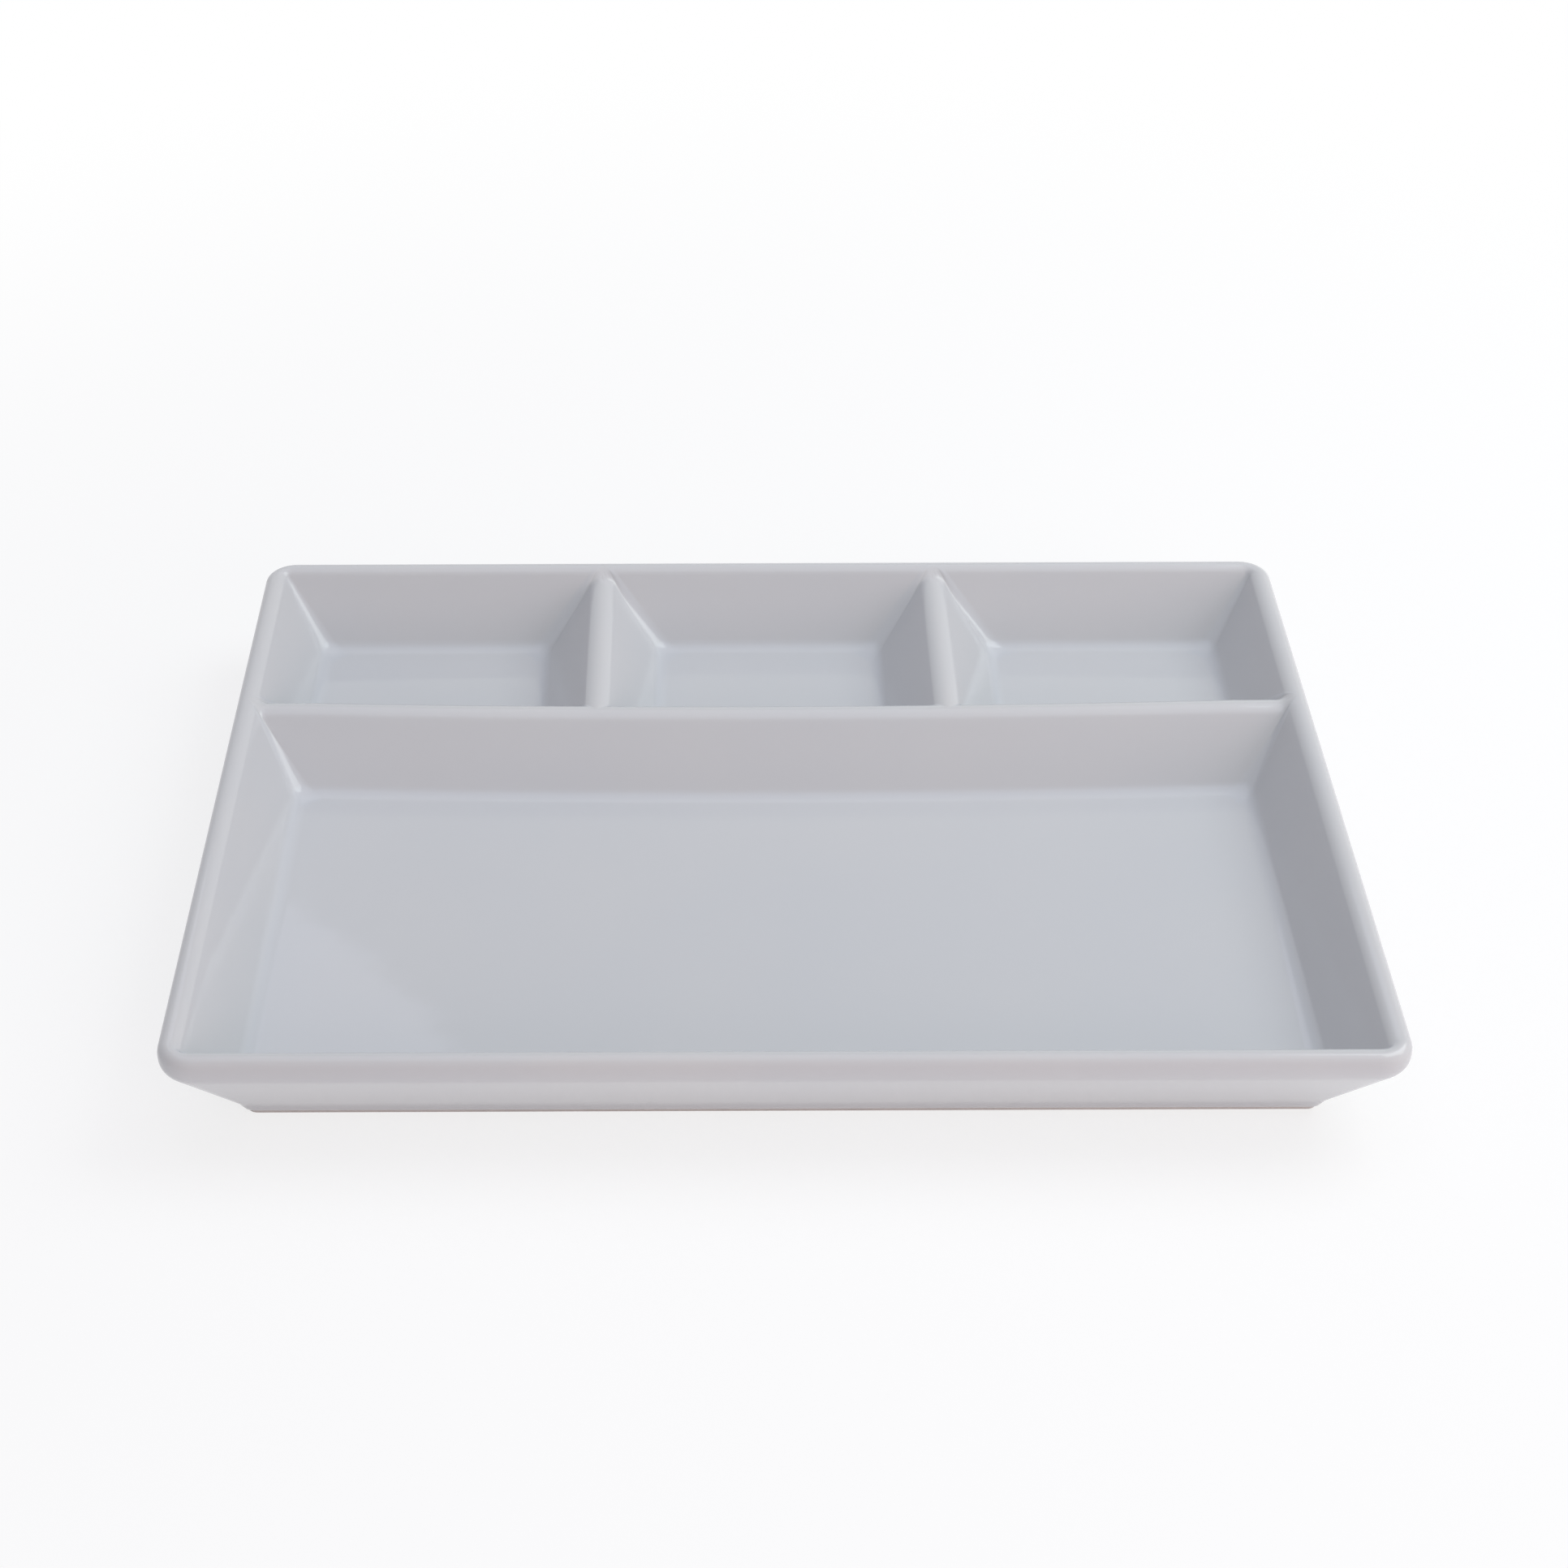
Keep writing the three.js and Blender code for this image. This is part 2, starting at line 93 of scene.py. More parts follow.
# A ring of points round a rectangle with rounded corners, from its front left corner.
# Each point also says which side it is on and how far round the next corner it is.
def roundedRing(low, high, radii, stations, cornerSteps):
    corners = np.array([[low[0], low[1]], [high[0], low[1]], [high[0], high[1]], [low[0], high[1]]])
    points, sides, shares = [], [], []
    for side in range(4):
        along = np.round([math.cos(side * math.pi / 2), math.sin(side * math.pi / 2)])
        inward = np.array([-along[1], along[0]])
        start = corners[side] + radii[side - 1] * along
        end = corners[(side + 1) % 4] - radii[side] * along
        points.append(blend(start, end, stations[side][:, None]))
        share = np.arange(1, cornerSteps) / cornerSteps
        turn = (share * math.pi / 2)[:, None]
        centre = end + radii[side] * inward
        points.append(centre + radii[side] * (np.sin(turn) * along - np.cos(turn) * inward))
        shares += [np.zeros(len(stations[side])), share]
        sides.append(np.full(len(stations[side]) + cornerSteps - 1, side))
    return np.vstack(points), np.concatenate(sides), np.concatenate(shares)


def eased(steps):  # stations along a side, much closer together near its ends
    share = np.linspace(0, 1, steps + 1)
    return np.where(share < 0.5, 2 * share ** 2, 1 - 2 * (1 - share) ** 2)


def chained(stops, steps):  # stations over several stretches, as shares of the whole
    values = [np.array([stops[0]])]
    for start, end, count in zip(stops, stops[1:], steps):
        values.append(blend(start, end, eased(count))[1:])
    values = np.concatenate(values)
    return (values - values[0]) / (values[-1] - values[0])


fineness = {"lip": 9, "wall": 7, "fillet": 9, "rim": 9, "roll": 6, "outerWall": 9, "foot": 4,
            "bead": 6, "corner": 8, "cell": 28, "largeSide": 32, "smallSide": 24}


def wellSection(wallAngle, crestRadius):
    tilt = 90 - wallAngle
    lip = arcRows(0, dish["height"] - crestRadius, crestRadius, 0, tilt, fineness["lip"])
    filletCentre = dish["floorHeight"] + dish["floorFillet"]
    filletTop = filletCentre - dish["floorFillet"] * math.cos(math.radians(tilt))
    wallRun = (lip[-1, 1] - filletTop) * slope(wallAngle)
    floorRun = lip[-1, 0] + wallRun + dish["floorFillet"] * math.sin(math.radians(tilt))
    fillet = arcRows(floorRun, filletCentre, -dish["floorFillet"], tilt, 0, fineness["fillet"])
    return np.vstack([lip, straightRows(lip[-1], fillet[0], fineness["wall"]), fillet])


rimSide = wellSection(dish["innerWallAngle"], dish["rimLip"])
dividerSide = wellSection(dish["dividerAngle"], dish["dividerCrest"])
floorHalf = crestHalf - rimSide[-1, 0]


# The floor settles in the middle of the dish in firing, and the dividers with it
def settled(points):
    x, y, z = points.T
    across = np.clip(1 - (x / floorHalf[0]) ** 2, 0, None)
    along = np.clip(1 - (y / floorHalf[1]) ** 2, 0, None)
    lift = np.clip(z / dish["recessHeight"], 0, 1)
    return np.column_stack([x, y, z - dish["floorSag"] * across * along * lift])


leastReach = 1e-9  # keeps a reach of nothing from dividing by zero


def roundedMax(a, b, reach):
    near = np.clip(reach - np.abs(a - b), 0, None)
    return np.maximum(a, b) + near ** 2 / (4 * reach + leastReach)


# Divider crests lie a little lower than the rim, and run into its inner side
def dividerFall(xy, height):
    climb = np.clip((height - dish["floorHeight"]) / (dish["height"] - dish["floorHeight"]), 0, None)
    fromRim = np.min(crestHalf - np.abs(xy), axis=1)
    rimHeight = np.interp(fromRim, rimSide[:, 0], rimSide[:, 1])
    lowered = height - dish["dividerDrop"] * climb
    return height - roundedMax(lowered, rimHeight, dish["junction"] * climb)


acrossStops = [-crestHalf[0], -columnCrest, columnCrest, crestHalf[0]]
acrossStations = chained(acrossStops, [fineness["cell"]] * 3)
largeSide, smallSide = eased(fineness["largeSide"]), eased(fineness["smallSide"])

wells = [{
    "low": np.array([-crestHalf[0], -crestHalf[1]]), "high": np.array([crestHalf[0], rowCrest]),
    "sections": [rimSide, rimSide, dividerSide, rimSide],
    "crestRadii": [crestCorner, 0, 0, crestCorner],
    "stations": [acrossStations, largeSide, acrossStations, largeSide],
}]
for column in range(3):
    onLeft, onRight = column == 0, column == 2
    cell = eased(fineness["cell"])
    wells.append({
        "low": np.array([acrossStops[column], rowCrest]),
        "high": np.array([acrossStops[column + 1], crestHalf[1]]),
        "sections": [dividerSide, rimSide if onRight else dividerSide, rimSide,
                     rimSide if onLeft else dividerSide],
        "crestRadii": [0, crestCorner if onRight else 0, crestCorner if onLeft else 0, 0],
        "stations": [cell, smallSide, cell, smallSide],
    })


# A well's corner tightens over the lip to the crease between two walls, then opens to the floor
def cornerRadius(crestRadius, section, index):
    run, lipRun, floorRun = section[index, 0], section[fineness["lip"], 0], section[-1, 0]
    onLip = min(1, run / lipRun)
    onWall = max(0, run - lipRun) / (floorRun - lipRun)
    return blend(blend(crestRadius, dish["crease"], onLip), dish["floorCorner"], onWall)


def sectionRing(well, index, depth):
    rows = np.array([section[index] for section in well["sections"]])
    run, height = rows[:, 0] - depth * rows[:, 2], rows[:, 1] - depth * rows[:, 3]
    low = well["low"] + [run[3], run[0]]
    high = well["high"] - [run[1], run[2]]
    radii = [cornerRadius(well["crestRadii"][c], well["sections"][c], index) + depth * rows[c, 2]
             for c in range(4)]
    xy, side, share = roundedRing(low, high, radii, well["stations"], fineness["corner"])
    return xy, blend(height[side], height[(side + 1) % 4], share), side, share


# Below the surface a ring falls as the surface does, so that a coat keeps its thickness
def wellRing(well, index, depth):
    xy, z, side, share = sectionRing(well, index, depth)
    onDivider = np.array([section is dividerSide for section in well["sections"]], float)
    surfaceXy, surfaceZ, _, _ = sectionRing(well, index, 0)
    fall = dividerFall(surfaceXy, surfaceZ) * blend(onDivider[side], onDivider[(side + 1) % 4], share)
    return settled(np.column_stack([xy, z - fall])), share


# Fills a ring with a grid whose four corners lie in the middle of the ring's round corners
def filledRing(ring, stations, cornerSteps):
    half = cornerSteps // 2
    sideSteps = [len(side) - 1 + cornerSteps for side in stations]
    loop = np.roll(ring[:, :2], half, axis=0)
    loop = np.vstack([loop, loop[:1]])
    at = np.concatenate([[0], np.cumsum(sideSteps)])
    front, right = loop[at[0]:at[1] + 1], loop[at[1]:at[2] + 1]
    back, left = loop[at[2]:at[3] + 1][::-1], loop[at[3]:at[4] + 1][::-1]
    u = ((front[:, 0] - front[0, 0]) / (front[-1, 0] - front[0, 0]))[None, :, None]
    v = ((left[:, 1] - left[0, 1]) / (left[-1, 1] - left[0, 1]))[:, None, None]
    ends = blend(blend(front[0], front[-1], u), blend(back[0], back[-1], u), v)
    return (blend(front[None], back[None], v) + blend(left[:, None], right[:, None], u) - ends)


# A sheet is a grid of points with the depth of the glaze pool at each; some close on themselves
def sheet(points, pool, closed, flipped):
    return {"points": points, "pool": np.broadcast_to(pool, points.shape[:2]),
            "closed": closed, "flipped": flipped}


glazePool = {"crest": 0.0, "lipEnd": 0.35, "wallEnd": 0.5, "fillet": 1.0, "floor": 0.55,
             "crease": 0.35, "foot": 0.7, "bead": 1.0}


def wellSheets(well, depth, flipped):
    lip, wall, fillet = fineness["lip"], fineness["wall"], fineness["fillet"]
    stops = [0, lip, lip + wall, lip + wall + fillet / 2, lip + wall + fillet]
    pools = [glazePool[k] for k in ("crest", "lipEnd", "wallEnd", "fillet", "floor")]
    rings, pool = [], []
    for index in range(len(rimSide)):
        ring, share = wellRing(well, index, depth)
        inCrease = glazePool["crease"] * np.sin(math.pi * share) * min(1, index / lip)
        pool.append(np.interp(index, stops, pools) + inCrease)
        rings.append(ring)
    xy = filledRing(rings[-1], well["stations"], fineness["corner"])
    flat = np.full(xy.shape[:2] + (1,), dish["floorHeight"] - depth)
    floor = settled(np.concatenate([xy, flat], 2).reshape(-1, 3)).reshape(xy.shape[:2] + (3,))
    return [sheet(np.array(rings), np.clip(pool, 0, 1), True, flipped),
            sheet(floor, glazePool["floor"], False, flipped)]


# The outside, from the crest of the rim over and down to the glaze line on the foot
rimTop = arcRows(0, dish["height"] - dish["rimEdge"], dish["rimEdge"], 0, dish["rimEdgeTilt"],
                 fineness["rim"])
rimSideways = arcRows(rollRun, rollHeight, dish["rimRoll"], dish["rimEdgeTilt"], 90, fineness["roll"])
rimUnder = arcRows(rollRun, rollHeight, dish["rimRoll"], 90, 90 + dish["outerWallAngle"],
                   fineness["roll"])
footTopRun = rimUnder[-1, 0] - (rimUnder[-1, 1] - dish["footHeight"]) * slope(dish["outerWallAngle"])
footTilt = math.radians(90 + dish["footSideAngle"])


def footRow(height):
    run = footTopRun - (dish["footHeight"] - height) * slope(dish["footSideAngle"])
    return np.array([run, height, math.sin(footTilt), math.cos(footTilt)])


wallEnd = np.array([footTopRun, dish["footHeight"], rimUnder[-1, 2], rimUnder[-1, 3]])
beadTop = footRow(dish["glazeLine"] + dish["glaze"] / 2)
outsideRows = np.vstack([
    rimTop, rimSideways[1:], rimUnder[1:], straightRows(rimUnder[-1], wallEnd, fineness["outerWall"]),
    footRow(dish["footHeight"]), straightRows(footRow(dish["footHeight"]), beadTop, fineness["foot"]),
    beadTop,
])

tangent = crestHalf - crestCorner
sideStations = chained([-tangent[1], rowCrest, tangent[1]],
                       [fineness["largeSide"], fineness["smallSide"]])
backStations = chained([-tangent[0], -columnCrest, columnCrest, tangent[0]], [fineness["cell"]] * 3)
outsideStations = [acrossStations, sideStations, 1 - backStations[::-1], 1 - sideStations[::-1]]


def outsideRing(row, depth):
    run, height = row[0] - depth * row[2], row[1] - depth * row[3]
    lower = blend(dish["footCorner"], dish["rimCorner"], row[1] / rollHeight)
    radius = crestCorner + row[0] if row[1] >= rollHeight else lower
    radius -= depth * row[2]
    half = crestHalf + run
    xy, _, _ = roundedRing(-half, half, [radius] * 4, outsideStations, fineness["corner"])
    return np.column_stack([xy, np.full(len(xy), height)])


def beadRings():  # the glaze ends above the foot in a rounded bead
    radius = dish["glaze"] / 2
    down = np.array([-math.sin(math.radians(dish["footSideAngle"])),
                     -math.cos(math.radians(dish["footSideAngle"]))])
    centre = beadTop[:2] - radius * beadTop[2:]
    rings = []
    for turn in np.linspace(0, math.pi, fineness["bead"] + 1)[1:-1]:
        place = centre + radius * (math.cos(turn) * beadTop[2:] + math.sin(turn) * down)
        rings.append(outsideRing(np.array([place[0], place[1], 0, 0]), 0))
    return rings


def outsideSheet():
    outer = [outsideRing(row, 0) for row in outsideRows]
    inner = [outsideRing(row, dish["glaze"]) for row in outsideRows]
    bead = beadRings()
    crestPool = np.interp(outsideRows[:, 1], [0, dish["footHeight"], rollHeight, dish["height"]],
                          [glazePool[k] for k in ("bead", "foot", "lipEnd", "crest")])
    pool = np.concatenate([crestPool, np.full(len(bead), glazePool["bead"]), crestPool[::-1]])
    return sheet(np.array(outer + bead + inner[::-1]), pool[:, None], True, True)


weldDistance = 1e-7  # metres


def makePiece(name, sheets):
    mesh = bpy.data.meshes.new(name)
    points, faces, pools, first = [], [], [], 0
    for part in sheets:
        rows, columns = part["points"].shape[:2]
        index = first + np.arange(rows * columns).reshape(rows, columns)
        if part["closed"]:
            index = np.column_stack([index, index[:, :1]])
        quads = np.stack([index[:-1, :-1], index[:-1, 1:], index[1:, 1:], index[1:, :-1]], -1)
        quads = quads.reshape(-1, 4)
        faces += (quads[:, ::-1] if part["flipped"] else quads).tolist()
        points.append(part["points"].reshape(-1, 3))
        pools.append(part["pool"].reshape(-1))
        first += rows * columns
    mesh.from_pydata((np.vstack(points) * metresPerMm).tolist(), [], faces)
    mesh.attributes.new("glazePool", "FLOAT", "POINT").data.foreach_set("value", np.concatenate(pools))
    work = bmesh.new()
    work.from_mesh(mesh)
    bmesh.ops.remove_doubles(work, verts=work.verts, dist=weldDistance)
    loops = [side for side in work.edges if side.is_boundary]
    if loops:  # the foot ring's sole joins the outside to the hollow
        sole = bmesh.ops.bridge_loops(work, edges=loops)["faces"]
        bmesh.ops.reverse_faces(work, faces=[face for face in sole if face.normal.z > 0])
    work.to_mesh(mesh)
    work.free()
    mesh.shade_smooth()
    piece = bpy.data.objects.new(name, mesh)
    bpy.context.scene.collection.objects.link(piece)
    print(name, len(mesh.vertices), "points", len(mesh.polygons), "faces")
    return piece


sheets = [outsideSheet()]
for well in wells:
    sheets += wellSheets(well, 0, False) + wellSheets(well, dish["glaze"], True)
glazeCoat = makePiece("glossGlaze", sheets)

# Underside: a shallow recess inside the foot, with a channel that keeps each divider thin
underside = {
    "draftAngle": 15, "fillet": 2, "corner": 4, "wall": 4.6,
    "channelTop": 2, "channelEndAngle": 20, "channelEndMargin": 5,
    "edgeRound": 0.8, "gridStep": 1.7, "wallSteps": 3, "filletSteps": 6,
}

footEdgeRun = (footTopRun - dish["footHeight"] * slope(dish["footSideAngle"])
               - dish["footEdge"] * slope((90 - dish["footSideAngle"]) / 2))
recessHalf = crestHalf + footEdgeRun - dish["footRing"]
recessTilt = 90 + underside["draftAngle"]
filletHeight = dish["recessHeight"] - underside["fillet"]
filletStart = filletHeight - underside["fillet"] * math.cos(math.radians(recessTilt))
filletRun = (filletStart * slope(underside["draftAngle"])
             + underside["fillet"] * math.sin(math.radians(recessTilt)))
lipEnd = dividerSide[fineness["lip"]]
channelShift = underside["wall"] / math.cos(math.radians(dish["dividerAngle"]))
channelPeak = lipEnd[1] - (channelShift - lipEnd[0]) / slope(dish["dividerAngle"])
channelCentre = channelPeak - underside["channelTop"] / math.sin(math.radians(dish["dividerAngle"]))
channelEnd = recessHalf - filletRun - underside["channelEndMargin"]


def channelHeight(across, toEnd):  # a roof with a round ridge that slopes down at its ends
    sides = channelPeak - across / slope(dish["dividerAngle"])
    ridge = channelCentre + np.sqrt(np.clip(underside["channelTop"] ** 2 - across ** 2, 0, None))
    onRidge = across < underside["channelTop"] * math.cos(math.radians(dish["dividerAngle"]))
    ends = filletHeight + toEnd / slope(underside["channelEndAngle"])
    return -roundedMax(-np.where(onRidge, ridge, sides), -ends, underside["edgeRound"])


def ceilingHeight(xy):
    x, y = xy[..., 0], xy[..., 1]
    flat = np.full(x.shape, float(dish["recessHeight"]))
    row = channelHeight(np.abs(y - rowCrest), channelEnd[0] - np.abs(x))
    beyondRow = np.where(y > rowCrest, channelEnd[1] - y, y - rowCrest + dish["dividerCrest"])
    column = channelHeight(np.abs(np.abs(x) - columnCrest), beyondRow)
    return roundedMax(roundedMax(flat, row, underside["edgeRound"]), column, underside["edgeRound"])


def undersideSheets(depth, start, flipped):
    rows = arcRows(filletRun, filletHeight, -underside["fillet"], recessTilt, 180,
                   underside["filletSteps"])
    shift = depth / math.cos(math.radians(underside["draftAngle"]))
    lowest = np.array([start * slope(underside["draftAngle"]) - shift, start])
    places = rows[:, :2] - depth * rows[:, 2:]
    places = np.vstack([lowest, straightRows(lowest, places[0], underside["wallSteps"]), places])
    stations = [np.linspace(0, 1, int(2 * half / underside["gridStep"])) for half in recessHalf]
    stations = [stations[0], stations[1], stations[0], stations[1]]
    rings = []
    for run, height in places:
        half = recessHalf - run
        xy, _, _ = roundedRing(-half, half, [underside["corner"]] * 4, stations, fineness["corner"])
        rings.append(settled(np.column_stack([xy, np.full(len(xy), height)])))
    xy = filledRing(rings[-1], stations, fineness["corner"])
    height = ceilingHeight(xy)[..., None] + depth
    ceiling = settled(np.concatenate([xy, height], 2).reshape(-1, 3)).reshape(xy.shape[:2] + (3,))
    pool = np.linspace(glazePool["bead"], glazePool["floor"], len(rings))[:, None]
    return [sheet(np.array(rings), pool, True, flipped),
            sheet(ceiling, glazePool["floor"], False, flipped)]


airSide = undersideSheets(0, dish["glazeLine"], True)
claySide = undersideSheets(dish["glaze"], dish["glazeLine"], False)
edgeRings = np.array([airSide[0]["points"][0], claySide[0]["points"][0]])
edge = sheet(edgeRings, glazePool["bead"], True, False)
undersideGlaze = makePiece("undersideGlaze", airSide + claySide + [edge])

# The clay lies close under both glazes; its foot ring stands bare
clayDepth = dish["glaze"] + dish["bond"]
footRows = arcRows(footEdgeRun, dish["footEdge"], dish["footEdge"], 90 + dish["footSideAngle"], 180,
                   fineness["foot"])
footRows[:, 3] = 0
clayOutside = [outsideRing(row, clayDepth) for row in np.vstack([outsideRows, footRows])]
sheets = [sheet(np.array(clayOutside), 0.0, True, True)] + undersideSheets(clayDepth, 0, True)
for well in wells:
    sheets += wellSheets(well, clayDepth, False)
body = makePiece("porcelainBody", sheets)
sharpFrom = 50  # degrees: edges bent more than this stay crisp, such as the foot ring's inner one
body.data.set_sharp_from_angle(angle=math.radians(sharpFrom))


def rgb(code):  # sRGB hex to linear
    values = [int(code[i:i + 2], 16) / 255 for i in (1, 3, 5)]
    return [v / 12.92 if v <= 0.04045 else ((v + 0.055) / 1.055) ** 2.4 for v in values]


def rgba(code):
    return rgb(code) + [1]


def addNode(tree, kind, inputs=None, **settings):
    made = tree.nodes.new(kind)
    for name, value in settings.items():
        setattr(made, name, value)
    for socket, value in (inputs or {}).items():
        if isinstance(value, bpy.types.NodeSocket):
            tree.links.new(value, made.inputs[socket])
        else:
            made.inputs[socket].default_value = value
    return made


def newMaterial(name):
    material = bpy.data.materials.new(name)
    material.use_nodes = True
    material.node_tree.nodes.clear()
    return material, material.node_tree


def perMetre(millimetres):  # noise scale for a pattern of that size
    return 1 / (millimetres * metresPerMm)


# Gloss glaze, fired smooth over white porcelain: it runs thin and warm over the crests, pools
# cooler in the fillets, and its skin has a faint ripple that bends reflections
glossFinish = {
    "thin": "#cbcbcb", "pooled": "#c6c9cd",
    "driftTone": "#c2c6cb", "driftMm": 55, "driftShare": 0.35, "driftSpan": (0.35, 0.7),
    "rippleMm": 9, "rippleDepthMm": 0.02,
    "roughMm": 14, "roughLow": 0.03, "roughHigh": 0.05, "roughSpan": (0.3, 0.7), "ior": 1.5,
}


def glazeMaterial(name, finish):
    material, tree = newMaterial(name)
    place = addNode(tree, "ShaderNodeTexCoord").outputs["Object"]
    pool = addNode(tree, "ShaderNodeAttribute", attribute_name="glazePool").outputs["Fac"]
    drift = addNode(tree, "ShaderNodeTexNoise", {
        "Vector": place, "Scale": perMetre(finish["driftMm"]), "Detail": 3, "Roughness": 0.55})
    ripple = addNode(tree, "ShaderNodeTexNoise", {
        "Vector": place, "Scale": perMetre(finish["rippleMm"]), "Detail": 1.5})
    cloud = addNode(tree, "ShaderNodeTexNoise", {
        "Vector": place, "Scale": perMetre(finish["roughMm"]), "Detail": 2})
    coat = addNode(tree, "ShaderNodeMix", {
        0: pool, 6: rgba(finish["thin"]), 7: rgba(finish["pooled"])}, data_type="RGBA")
    share = addNode(tree, "ShaderNodeMapRange", {
        "Value": drift.outputs["Fac"], "From Min": finish["driftSpan"][0],
        "From Max": finish["driftSpan"][1], "To Max": finish["driftShare"]})
    tone = addNode(tree, "ShaderNodeMix", {
        0: share.outputs["Result"], 6: coat.outputs[2], 7: rgba(finish["driftTone"])}, data_type="RGBA")
    rough = addNode(tree, "ShaderNodeMapRange", {
        "Value": cloud.outputs["Fac"],
        "From Min": finish["roughSpan"][0], "From Max": finish["roughSpan"][1],
        "To Min": finish["roughLow"], "To Max": finish["roughHigh"]})
    skin = addNode(tree, "ShaderNodeBump", {
        "Height": ripple.outputs["Fac"], "Strength": 1,
        "Distance": finish["rippleDepthMm"] * metresPerMm})
    shader = addNode(tree, "ShaderNodeBsdfPrincipled", {
        "Base Color": tone.outputs[2], "Roughness": rough.outputs["Result"], "IOR": finish["ior"],
        "Normal": skin.outputs["Normal"]})
    addNode(tree, "ShaderNodeOutputMaterial", {"Surface": shader.outputs["BSDF"]})
    return material


glazeCoat.data.materials.append(glazeMaterial("gloss glaze on porcelain", glossFinish))

# Glaze in the hollow: poured rather than sprayed, so it is less even and a little duller
hollowFinish = dict(glossFinish, thin="#cac8c4", pooled="#c2c5c8", driftTone="#bdbfbf", driftMm=32,
                    driftShare=0.5, rippleMm=13, rippleDepthMm=0.05, roughLow=0.12, roughHigh=0.26)
undersideGlaze.data.materials.append(glazeMaterial("poured glaze under the floor", hollowFinish))

# Bare porcelain, wiped clean and fired: matt, warm white and finely gritty, greyed where it rubs
# on the table. The grit is drawn several times too coarse, or it would not show.
bisqueFinish = {
    "clay": "#d4d0cd", "grain": "#cbc6c2", "gritMm": 0.7, "gritDepthMm": 0.05,
    "rub": "#b8b3af", "rubMm": 9, "rubShare": 0.5, "rubSpan": (0.5, 0.75), "roughness": 0.82,
}
bisque, tree = newMaterial("bare bisque porcelain")
place = addNode(tree, "ShaderNodeTexCoord").outputs["Object"]
grit = addNode(tree, "ShaderNodeTexNoise", {
    "Vector": place, "Scale": perMetre(bisqueFinish["gritMm"]), "Detail": 4, "Roughness": 0.7})
rub = addNode(tree, "ShaderNodeTexNoise", {
    "Vector": place, "Scale": perMetre(bisqueFinish["rubMm"]), "Detail": 5, "Roughness": 0.65})
clay = addNode(tree, "ShaderNodeMix", {
    0: grit.outputs["Fac"], 6: rgba(bisqueFinish["clay"]), 7: rgba(bisqueFinish["grain"])},
    data_type="RGBA")
rubbed = addNode(tree, "ShaderNodeMapRange", {
    "Value": rub.outputs["Fac"], "From Min": bisqueFinish["rubSpan"][0],
    "From Max": bisqueFinish["rubSpan"][1], "To Max": bisqueFinish["rubShare"]})
worn = addNode(tree, "ShaderNodeMix", {
    0: rubbed.outputs["Result"], 6: clay.outputs[2], 7: rgba(bisqueFinish["rub"])},
    data_type="RGBA")
grain = addNode(tree, "ShaderNodeBump", {
    "Height": grit.outputs["Fac"], "Strength": 1,
    "Distance": bisqueFinish["gritDepthMm"] * metresPerMm})
matt = addNode(tree, "ShaderNodeBsdfPrincipled", {
    "Base Color": worn.outputs[2], "Roughness": bisqueFinish["roughness"],
    "Normal": grain.outputs["Normal"]})
addNode(tree, "ShaderNodeOutputMaterial", {"Surface": matt.outputs["BSDF"]})
body.data.materials.append(bisque)

for piece, node, slot in ((glazeCoat, "glaze_coat", "clear_gloss_glaze"),
                          (undersideGlaze, "underside_glaze", "underside_glaze"),
                          (body, "porcelain_body", "bisque_porcelain")):
    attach(piece, "root")
    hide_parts(node)
print("materials on")

# Pale floor under soft studio light, and a white surround; metres. The floor keeps the dish's
# shadow and whitens into the surround beyond it.
studio = {
    "floorSize": 8, "floor": "#fafafa", "floorGlow": 0.75, "shadowReach": 0.16, "whiteFrom": 0.5,
    "surround": "#ffffff", "ambient": "#fcfaff", "ambientStrength": 0.43, "aimHeight": 0.012,
}

# The low lamp is kept out of reflections: seen from behind, its image would fill the large floor
lamps = [
    {"name": "overhead", "azimuth": 160, "elevation": 74, "distance": 1.6, "size": (2, 2),
     "watts": 8.2, "tone": "#e9ecff", "mirrored": True},
    {"name": "right", "azimuth": 105, "elevation": 50, "distance": 0.9, "size": (0.6, 0.6),
     "watts": 3.1, "tone": "#f5fffc", "mirrored": True},
    {"name": "low front", "azimuth": 31, "elevation": 17, "distance": 1.1, "size": (0.9, 0.5),
     "watts": 3.65, "tone": "#ffe8e7", "mirrored": False},
]


def seenRay(tree):  # one for rays from the eye, straight or by way of a reflection or glass
    rays = addNode(tree, "ShaderNodeLightPath").outputs
    bounced = addNode(tree, "ShaderNodeMath", {
        0: rays["Is Glossy Ray"], 1: rays["Is Transmission Ray"]}, operation="MAXIMUM")
    seen = addNode(tree, "ShaderNodeMath", {
        0: rays["Is Camera Ray"], 1: bounced.outputs[0]}, operation="MAXIMUM")
    return seen.outputs[0]


floorMesh = bpy.data.meshes.new("studioFloor")
half = studio["floorSize"] / 2
floorCorners = [(-half, -half, 0), (half, -half, 0), (half, half, 0), (-half, half, 0)]
floorMesh.from_pydata(floorCorners, [], [(0, 1, 2, 3)])
floor = bpy.data.objects.new("studioFloor", floorMesh)
bpy.context.scene.collection.objects.link(floor)
paper, tree = newMaterial("matt studio paper")
place = addNode(tree, "ShaderNodeTexCoord").outputs["Object"]
away = addNode(tree, "ShaderNodeVectorMath", {0: place}, operation="LENGTH")
fade = addNode(tree, "ShaderNodeMapRange", {
    "Value": away.outputs["Value"], "From Min": studio["shadowReach"], "From Max": studio["whiteFrom"],
    "To Min": studio["floorGlow"], "To Max": 1}, interpolation_type="SMOOTHSTEP")
glow = addNode(tree, "ShaderNodeMath", {
    0: seenRay(tree), 1: fade.outputs["Result"]}, operation="MULTIPLY")
lit = addNode(tree, "ShaderNodeBsdfDiffuse", {"Color": rgba(studio["floor"])})
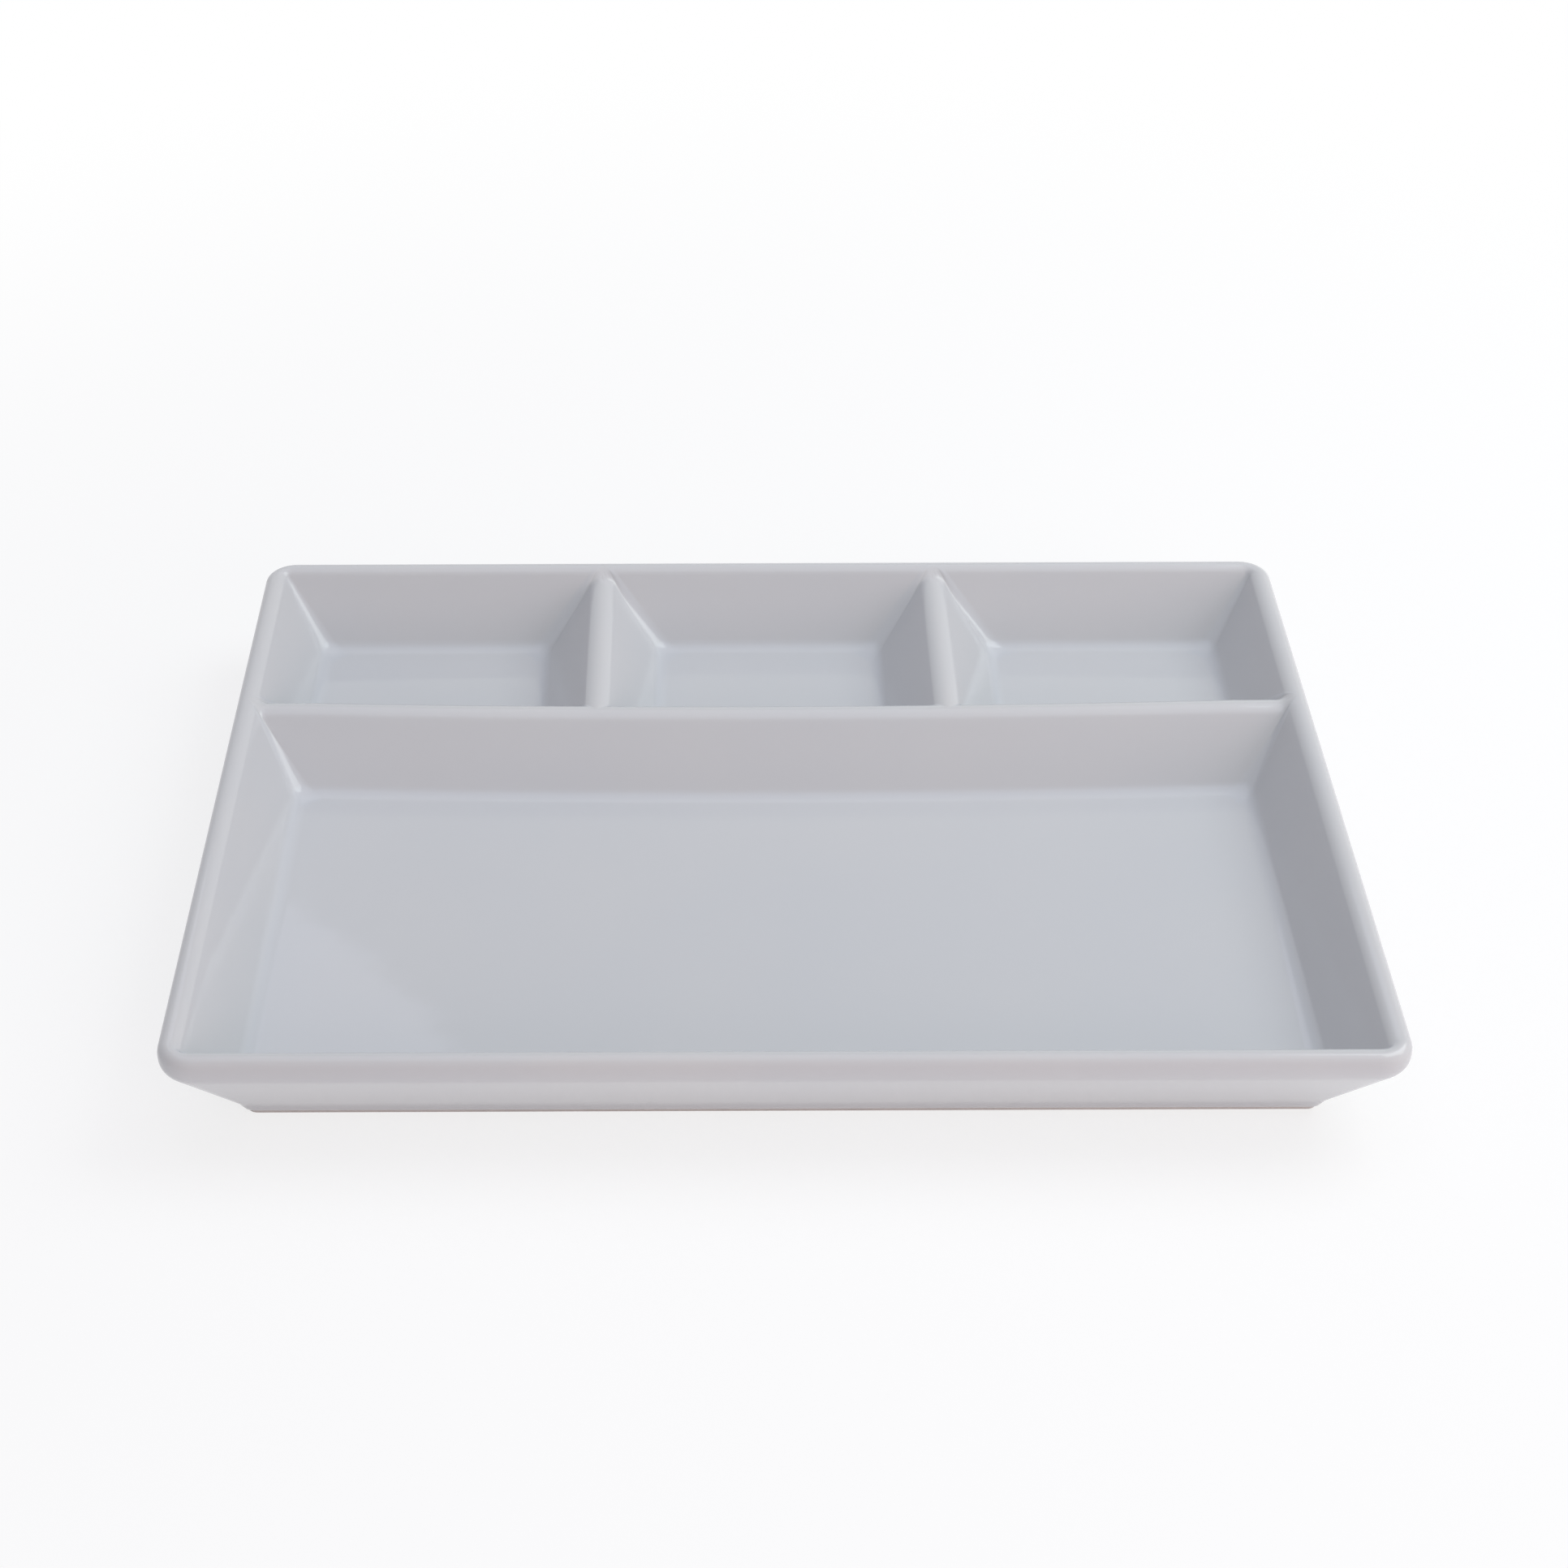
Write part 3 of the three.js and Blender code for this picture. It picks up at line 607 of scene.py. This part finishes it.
white = addNode(tree, "ShaderNodeEmission", {"Color": rgba(studio["surround"]), "Strength": 1})
mixed = addNode(tree, "ShaderNodeMixShader", {
    0: glow.outputs[0], 1: lit.outputs[0], 2: white.outputs[0]})
addNode(tree, "ShaderNodeOutputMaterial", {"Surface": mixed.outputs[0]})
floorMesh.materials.append(paper)

world = bpy.data.worlds.new("studio surround")
bpy.context.scene.world = world
world.use_nodes = True
tree = world.node_tree
tree.nodes.clear()
ambient = addNode(tree, "ShaderNodeBackground", {
    "Color": rgba(studio["ambient"]), "Strength": studio["ambientStrength"]})
backdrop = addNode(tree, "ShaderNodeBackground", {"Color": rgba(studio["surround"]), "Strength": 1})
shown = addNode(tree, "ShaderNodeMixShader", {
    0: seenRay(tree), 1: ambient.outputs[0], 2: backdrop.outputs[0]})
addNode(tree, "ShaderNodeOutputWorld", {"Surface": shown.outputs[0]})

aim = Vector((0, 0, studio["aimHeight"]))
for lamp in lamps:
    light = bpy.data.lights.new(lamp["name"], "AREA")
    light.shape = "RECTANGLE"
    light.size, light.size_y = lamp["size"]
    light.energy, light.color = lamp["watts"], rgb(lamp["tone"])
    turn, rise = math.radians(lamp["azimuth"]), math.radians(lamp["elevation"])
    toLamp = Vector((math.sin(turn) * math.cos(rise), -math.cos(turn) * math.cos(rise),
                     math.sin(rise)))
    holder = bpy.data.objects.new(lamp["name"], light)
    holder.location = aim + toLamp * lamp["distance"]
    holder.rotation_euler = toLamp.to_track_quat("Z", "Y").to_euler()
    holder.visible_camera, holder.visible_glossy = False, lamp["mirrored"]
    bpy.context.scene.collection.objects.link(holder)
print("studio lit by", len(lamps), "lamps")

# Camera at the photograph's place: pitch and roll in degrees, the frame in its own pixels
shot = {
    "place": (-14.344, -513.58, 385.61), "pitch": 35.134, "roll": -0.2005,
    "focalPixels": 3600, "principalX": 873.11, "framePixels": 1932, "sensor": 36,
    "clipStart": 0.01, "clipEnd": 50,
}
pitch, roll = math.radians(shot["pitch"]), math.radians(shot["roll"])
ahead = Vector((0, math.cos(pitch), -math.sin(pitch)))
right = Vector((1, 0, 0))
up = right.cross(ahead)
tiltedRight = right * math.cos(roll) + up * math.sin(roll)
tiltedUp = up * math.cos(roll) - right * math.sin(roll)
camera = bpy.data.cameras.new("photo camera")
camera.sensor_width = shot["sensor"]
camera.lens = shot["sensor"] * shot["focalPixels"] / shot["framePixels"]
camera.shift_x = 0.5 - shot["principalX"] / shot["framePixels"]
camera.clip_start, camera.clip_end = shot["clipStart"], shot["clipEnd"]
view = bpy.data.objects.new("photo camera", camera)
turned = Matrix((tiltedRight, tiltedUp, -ahead)).transposed().to_4x4()
view.matrix_world = Matrix.Translation(Vector(shot["place"]) * metresPerMm) @ turned
bpy.context.scene.collection.objects.link(view)
bpy.context.scene.camera = view
bpy.context.scene.view_settings.view_transform = "Standard"
